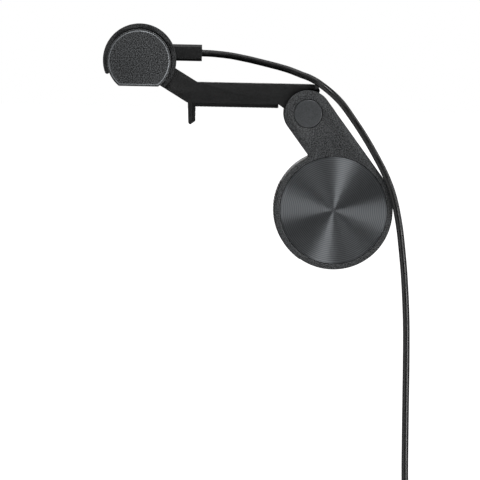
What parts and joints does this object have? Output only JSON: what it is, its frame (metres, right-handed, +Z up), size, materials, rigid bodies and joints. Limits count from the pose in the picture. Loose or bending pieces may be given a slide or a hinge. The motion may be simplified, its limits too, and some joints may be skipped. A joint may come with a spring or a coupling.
{
  "type": "monitor light bar",
  "caption": "Long lamp tube that tilts in a cradle on a bridge, with a front hook and a hinged, weighted rear arm that clamps over the top edge of a monitor; lead coiled behind.",
  "frame": {"origin": "middle of the rest pad's underside, where the bridge sits on a monitor's top edge", "axes": "+X along the lamp to the user's right, -Y towards the user, +Z up"},
  "size_m": [0.45, 0.1296, 0.2425],
  "materials": {
    "grained_metal": "fine grained dark grey powder coat",
    "cap_metal": "smooth satin dark grey",
    "liner": "low-friction liner strip",
    "dark_plastic": "matte dark moulded plastic",
    "plug_plastic": "satin moulded plug body",
    "rubber": "soft black pad",
    "gloss_panel": "polished black touch panel",
    "spun_metal": "spun concentric finish, dark anodised",
    "steel": "plain turned or pressed steel",
    "iron": "raw weight",
    "brass": "turned",
    "white_plastic": "white reflector",
    "board": "solder-masked circuit board",
    "phosphor": "light-emitting diodes on their strip",
    "milky_plastic": "milky diffusing plastic",
    "cable": "satin black cable jacket",
    "tie": "hook-and-loop band"
  },
  "bodies": {
    "clip": {"cradle": "grained_metal", "cradle_liner_right": "liner", "cradle_liner_left": "liner", "bridge_body": "dark_plastic", "bridge_base": "dark_plastic", "bridge_stiffener": "steel", "base_screw_1": "steel", "base_screw_2": "steel", "base_screw_3": "steel", "base_screw_4": "steel", "rest_pad": "rubber", "hook_pad": "rubber", "hinge_bush_right": "brass", "hinge_bush_left": "brass", "friction_washer_right": "brass", "friction_washer_left": "brass", "cord": "cable", "cord_coil": "cable", "cord_tie": "tie", "cord_tail": "cable", "usb_a_plug": "plug_plastic", "usb_a_plug_shell": "steel"},
    "bar": {"bar_housing": "grained_metal", "end_cap_right": "grained_metal", "end_cap_left": "grained_metal", "diffuser": "milky_plastic", "reflector": "white_plastic", "led_board": "board", "led_strip": "phosphor", "driver_board": "board", "touch_panel": "gloss_panel", "light_sensor_lens": "milky_plastic", "usb_c_socket": "steel", "usb_c_plug": "plug_plastic", "usb_c_plug_shell": "steel", "cord_at_plug": "cable"},
    "arm": {"side_plate_right": "grained_metal", "side_plate_left": "grained_metal", "spun_disc_right": "spun_metal", "spun_disc_left": "spun_metal", "pivot_cap_right": "cap_metal", "pivot_cap_left": "cap_metal", "spring_washer_right": "steel", "spring_washer_left": "steel", "hinge_pin": "steel", "drum_shell": "dark_plastic", "weight_core": "iron", "tie_screw_1": "steel", "tie_screw_2": "steel", "tie_screw_3": "steel", "drum_pad": "rubber"}
  },
  "joints": [
    {"name": "bar_tilt", "type": "hinge", "parent": "clip", "child": "bar", "pos_m": [0, -0.03503, 0.01631], "axis": [1, 0, 0], "range_deg": [-10, 15]},
    {"name": "arm_swing", "type": "hinge", "parent": "clip", "child": "arm", "pos_m": [0, 0.02603, -0.00178], "axis": [1, 0, 0], "range_deg": [-32, 40]}
  ]
}
